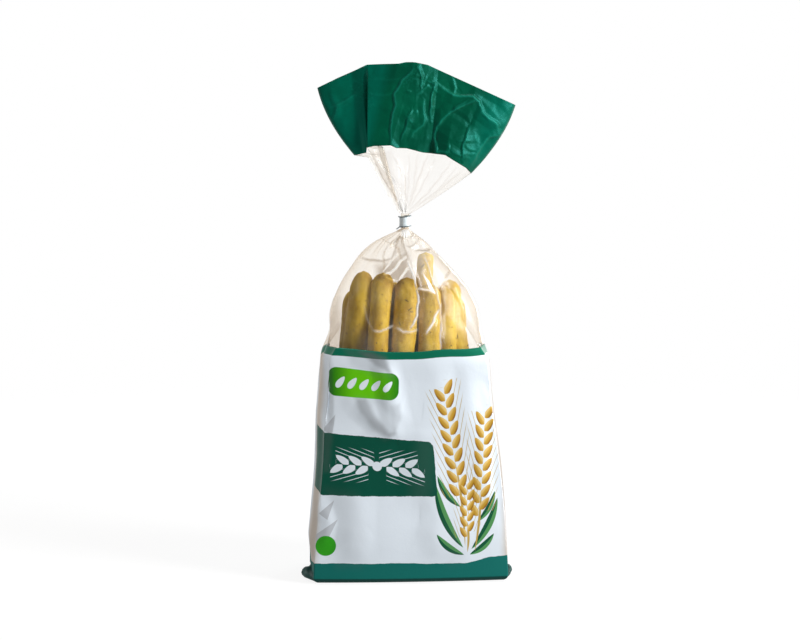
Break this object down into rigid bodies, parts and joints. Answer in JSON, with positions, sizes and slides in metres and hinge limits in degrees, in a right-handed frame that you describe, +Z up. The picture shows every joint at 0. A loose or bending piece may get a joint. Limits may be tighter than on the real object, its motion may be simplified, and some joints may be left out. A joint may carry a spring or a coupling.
{
  "type": "pack of breadsticks",
  "caption": "Standing block-bottom film bag full of breadsticks, gathered at the top and closed by a flat wire tie, with a fan of film above it.",
  "frame": {"origin": "centre of the flat base, where the bag stands", "axes": "+Z up, from the base through the neck; the printed front faces -Y; +X is the right-hand side seen from the front"},
  "size_m": [0.1194, 0.0596, 0.2859],
  "materials": {
    "film": "clear and printed packing film",
    "tie_plastic": "satin"
  },
  "bodies": {
    "root": {"bag": "film", "tie": "tie_plastic"}
  },
  "joints": []
}
